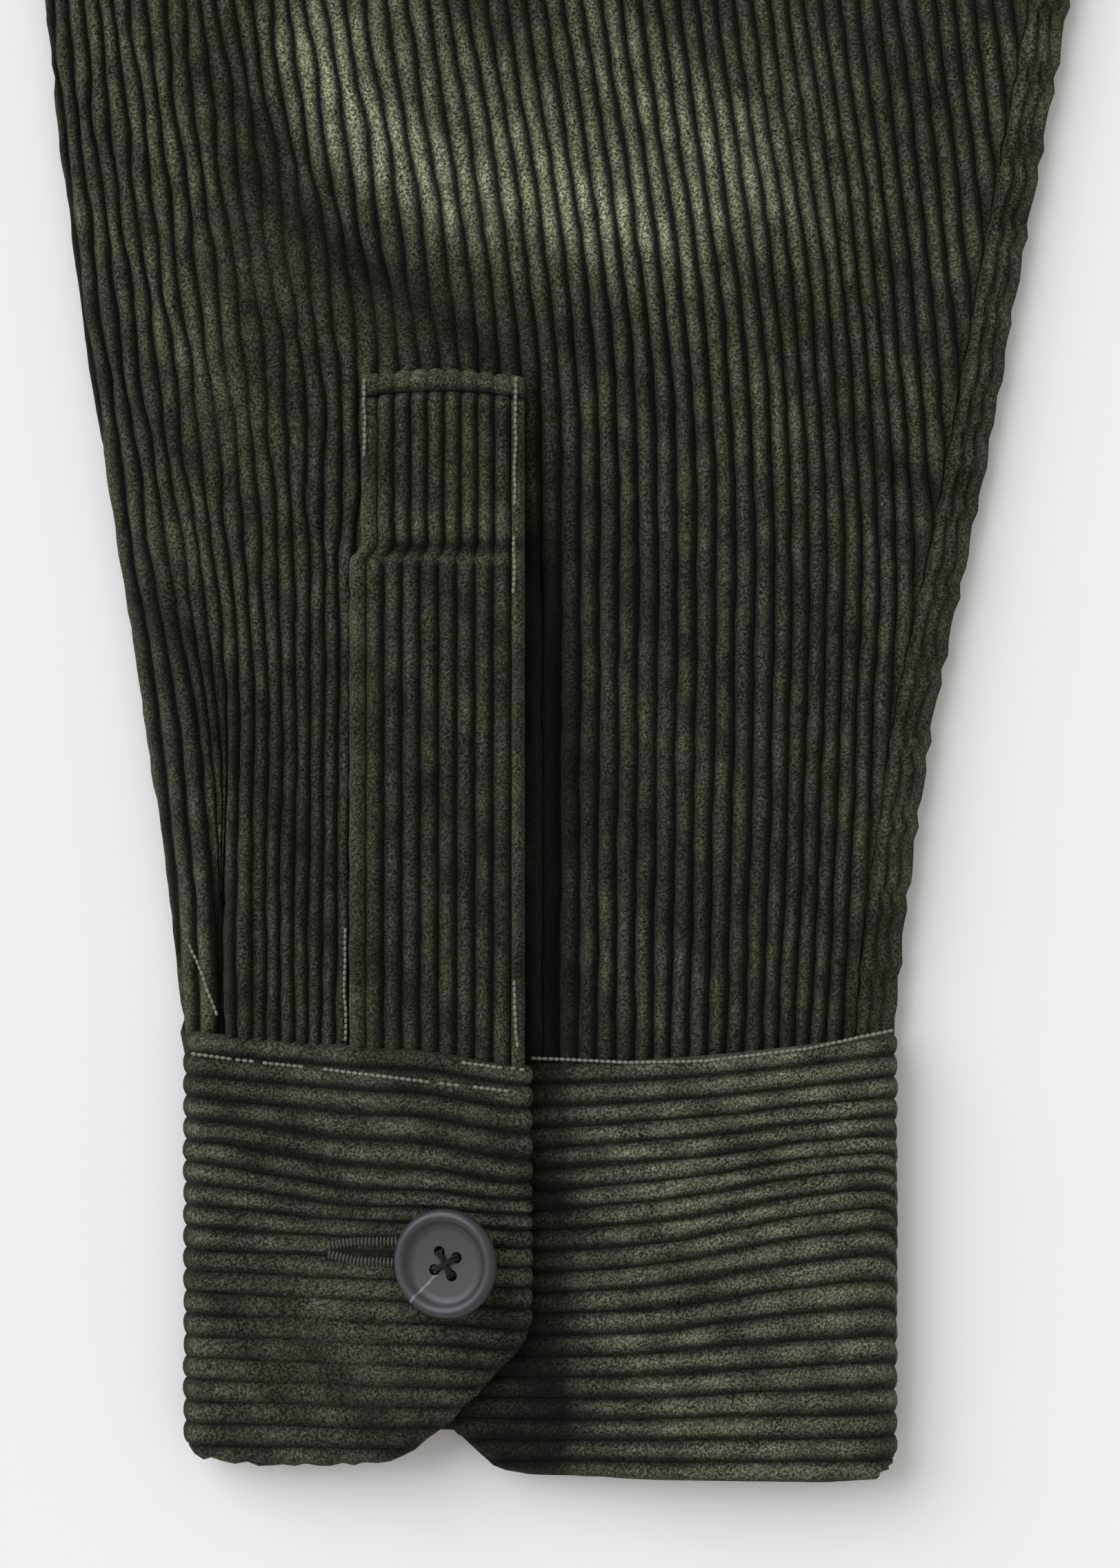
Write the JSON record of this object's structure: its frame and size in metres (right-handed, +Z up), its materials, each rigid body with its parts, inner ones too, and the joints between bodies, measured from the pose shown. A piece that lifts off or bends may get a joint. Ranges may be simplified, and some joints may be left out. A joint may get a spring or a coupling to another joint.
{
  "type": "corduroy overshirt",
  "caption": "Wide-wale corduroy overshirt laid flat, front up: rolled collar, buttoned front, long sleeves with placket and buttoned cuff.",
  "frame": {"origin": "centre of the bounding box at the surface that the garment lies on", "axes": "+Z up, away from the surface; +Y from the hem to the collar; +X to the wearer's left, along the spread sleeves"},
  "size_m": [1.3522, 0.781, 0.029],
  "materials": {
    "corduroy": "wide-wale cotton corduroy, dark olive green",
    "button_horn": "satin, dark blue-grey, horn look"
  },
  "bodies": {
    "root": {"back": "corduroy", "front_right": "corduroy", "front_left": "corduroy", "sleeve_right": "corduroy", "sleeve_left": "corduroy", "cuff_right": "corduroy", "cuff_left": "corduroy", "placket_right": "corduroy", "placket_left": "corduroy", "collar": "corduroy", "button_front_1": "button_horn", "button_front_2": "button_horn", "button_front_3": "button_horn", "button_front_4": "button_horn", "button_front_5": "button_horn", "button_front_6": "button_horn", "button_front_7": "button_horn", "button_cuff_right": "button_horn", "button_cuff_left": "button_horn"}
  },
  "joints": []
}
